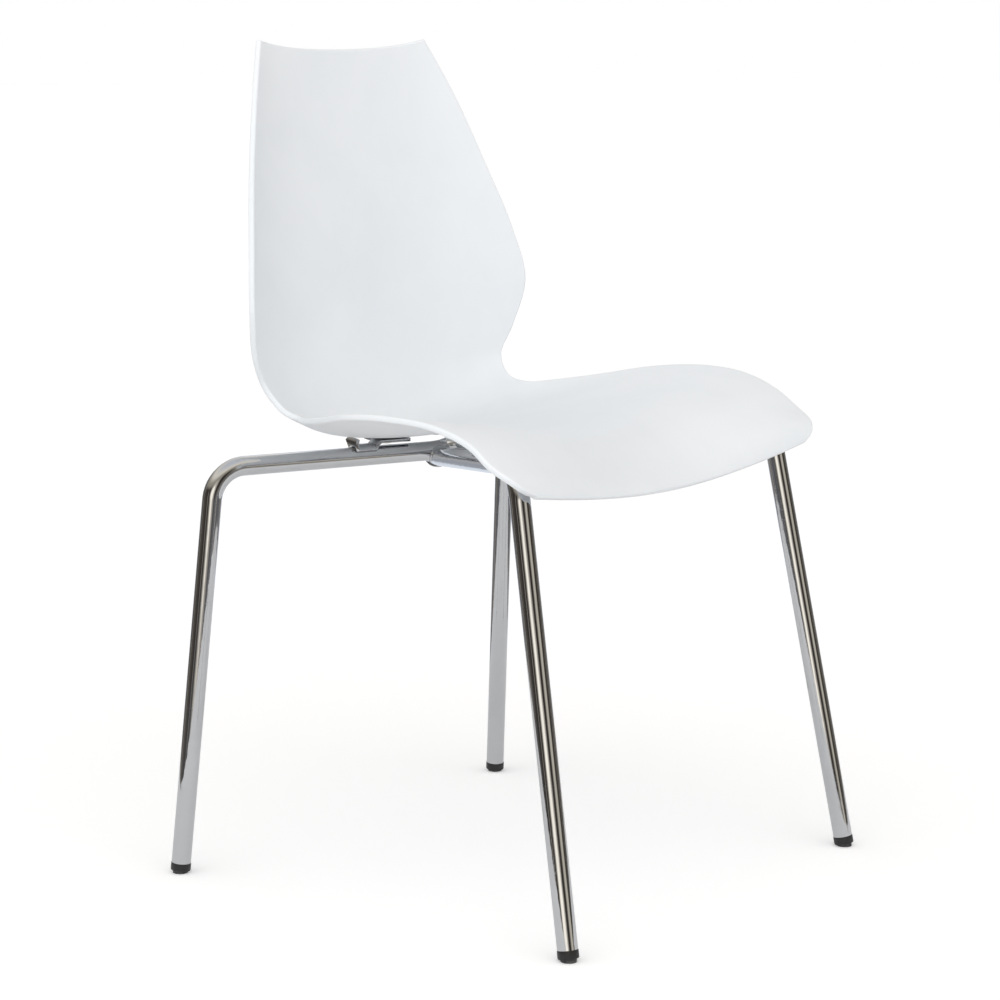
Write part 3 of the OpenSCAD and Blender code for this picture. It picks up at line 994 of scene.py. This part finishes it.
def turned_parts(name, outline, where, material, steps=48, sharp=35):
    """Parts turned from an outline of (radius, height) or (radius, height, 1 if hexagonal)."""
    mesh = bpy.data.meshes.new(name)
    points = [(p[0] * MM, p[2] if len(p) > 2 else 0, p[1] * MM) for p in outline]
    mesh.from_pydata(points, [(i, i + 1) for i in range(len(points) - 1)], [])
    piece = grown(name, mesh, turned_tree, {
        "Places": where, "Steps round": steps, "Material": material
    })
    recalculate(piece.data)
    piece.data.set_sharp_from_angle(angle=math.radians(sharp))
    return piece


def mirrored(matrix):
    """A turned part's frame on the other side of the chair."""
    axis = Vector((-matrix.col[2].x, matrix.col[2].y, matrix.col[2].z))
    turned = axis.to_track_quat("Z", "Y").to_matrix().to_4x4()
    turned.translation = flip(matrix.translation)
    return turned


screw_along, screw_across = 46 * MM, 19 * MM
tab_tops = {}
for end, (matrix, ear_top, tab_top) in fixings.items():
    there = matrix @ Matrix.Translation((screw_along, screw_across, tab_top))
    tab_tops[end] = [there, mirrored(there)]
where = places(tab_tops["rear"] + tab_tops["front"])

zinc, tree, shader = new_material("bright_zinc_plate")
place = own_place(tree)
wear = placed(tree, wear_group, Vector=place, Scratch_spacing=0.004, Patch_size=0.008)
tree.links.new(
    blend_colour(
        tree, spread(tree, wear["Patches"], 0, 1, 0.3, 0.7), (0.50, 0.53, 0.58), (0.60, 0.60, 0.56)
    ),
    shader["Base Color"],
)
shader["Metallic"].default_value = 1.0
tree.links.new(spread(tree, wear["Patches"], 0.20, 0.38, 0.3, 0.7), shader["Roughness"])
tree.links.new(
    add(tree, "ShaderNodeBump", {
        "Strength": 0.2, "Distance": 0.00005, "Height": wear["Scratches"]
    }, invert=True).outputs[0],
    shader["Normal"],
)
# Heights in mm from the tab's top; 'under' is the washer's lower face
under = -3.0 - 1.2
screws = turned_parts("seat_screws", [
    (0, under - 1.4), (2.0, under - 1.4, 1), (2.0, under - 3.2, 1), (2.5, under - 3.4),
    (3.5, under - 3.2), (4.3, under - 2.7), (4.9, under - 2.0), (5.2, under - 1.2),
    (5.25, under - 0.2), (5.1, under), (3.0, under), (3.0, 4.5), (2.6, 4.9), (0, 4.9),
], where, zinc, steps=36)
washers = turned_parts("seat_washers", [
    (3.2, under + 0.15), (3.35, under), (5.8, under), (6.0, under + 0.2), (6.0, -3.2), (5.8, -3.0),
    (3.35, -3.0), (3.2, -3.15), (3.2, under + 0.15),
], where, zinc)
for piece, kind in ((screws, "screw"), (washers, "washer")):
    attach(piece, "root")
    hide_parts(*(f"{e}_{kind}_{s}" for e in ("rear", "front") for s in ("left", "right")))

brass, tree, shader = new_material("turned_brass")
place = own_place(tree)
rings = add(tree, "ShaderNodeTexNoise", {"Vector": place, "Scale": 1200.0, "Detail": 2.0}).outputs[0]
tree.links.new(
    blend_colour(tree, rings, (0.62, 0.43, 0.17), (0.78, 0.58, 0.27)), shader["Base Color"]
)
shader["Metallic"].default_value = 1.0
tree.links.new(spread(tree, rings, 0.25, 0.42, 0.3, 0.7), shader["Roughness"])
tree.links.new(
    add(tree, "ShaderNodeBump", {
        "Strength": 0.2, "Distance": 0.00005, "Height": rings
    }).outputs[0],
    shader["Normal"],
)
for end in ("rear", "front"):
    for side in ("right", "left"):
        insert = frame["nodes"][f"{end}_insert_{side}"]
        insert.material_slots[0].material = brass

# ---- Bosses under the seat ----
# Moulded in one with the shell: a short drafted post over each tab, rounded off at both ends,
# and a socket for the brass insert.

for end, height in (("rear", 3.0), ("front", 9.0)):
    bosses = turned_parts(f"{end}_seat_bosses", [
        (4.5, 0.0), (7.6, 0.0), (7.9, 0.3), (8.0, 0.8), (8.2, height - 0.5), (8.0, height),
        (4.5, height), (4.5, 0.0),
    ], places(tab_tops[end]), white_plastic, steps=64, sharp=50)
    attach(bosses, "root")

# ---- Glides ----
# A black nylon foot hammered into the end of each leg: a plug in the bore, a cap as wide as the
# tube and a narrower sole, cut level with the floor. The soles are rubbed grey by use.

black_nylon, tree, shader = new_material("black_nylon")
place = own_place(tree)
grain = placed(tree, grain_group, Vector=place, Grain_size=0.0004, Wave_size=0.004)
wear = placed(tree, wear_group, Vector=place, Scratch_spacing=0.003, Patch_size=0.006)
above = add(tree, "ShaderNodeSeparateXYZ", {0: place}).outputs["Z"]
rubbed = maths(
    tree, "MULTIPLY", spread(tree, above, 1.0, 0.0, 0.0, 0.0035),
    spread(tree, wear["Patches"], 0.0, 1.0, 0.4, 0.62),
)
tree.links.new(
    blend_colour(tree, rubbed, (0.012, 0.012, 0.013), (0.10, 0.098, 0.094)), shader["Base Color"]
)
tree.links.new(
    maths(
        tree, "ADD", spread(tree, grain["Waves"], 0.34, 0.5, 0.3, 0.7),
        maths(tree, "MULTIPLY", rubbed, 0.3),
    ),
    shader["Roughness"],
)
tree.links.new(
    add(tree, "ShaderNodeBump", {
        "Strength": 0.25, "Distance": 0.00006, "Height": grain["Grain"]
    }).outputs[0],
    shader["Normal"],
)


def standing(foot, corner):
    """A leg's frame at the floor, with Z up the leg."""
    leg = (corner - foot).to_track_quat("Z", "Y").to_matrix().to_4x4()
    leg.translation = foot
    return leg


legs = [standing(rear_foot, rear_corner), standing(front_foot, front_corner)]
glides = turned_parts("glides", [
    (0, -4.0), (7.0, -4.0), (7.3, 0.5), (7.5, 1.2), (7.5, 2.2), (7.7, 2.5), (9.2, 2.5),
    (9.6, 2.8), (9.75, 3.4), (9.75, 9.6), (9.65, 10.2), (9.4, 10.5), (8.0, 10.5), (8.0, 30.0),
    (7.0, 32.5), (0, 32.5),
], places(legs + [mirrored(leg) for leg in legs]), black_nylon, steps=64)
bm = bmesh.new()
bm.from_mesh(glides.data)
bmesh.ops.bisect_plane(
    bm, geom=bm.verts[:] + bm.edges[:] + bm.faces[:], dist=1e-7, plane_co=(0, 0, 0),
    plane_no=(0, 0, -1), clear_outer=True,
)
bmesh.ops.holes_fill(bm, edges=[e for e in bm.edges if e.is_boundary])
bmesh.ops.recalc_face_normals(bm, faces=bm.faces)
bm.to_mesh(glides.data)
bm.free()
glides.data.set_sharp_from_angle(angle=math.radians(35))
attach(glides, "root")
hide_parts(*(f"{e}_glide_{s}" for e in ("rear", "front") for s in ("left", "right")))

for helper in [o for o in bpy.data.objects if o.name.startswith("places")]:
    bpy.data.objects.remove(helper)
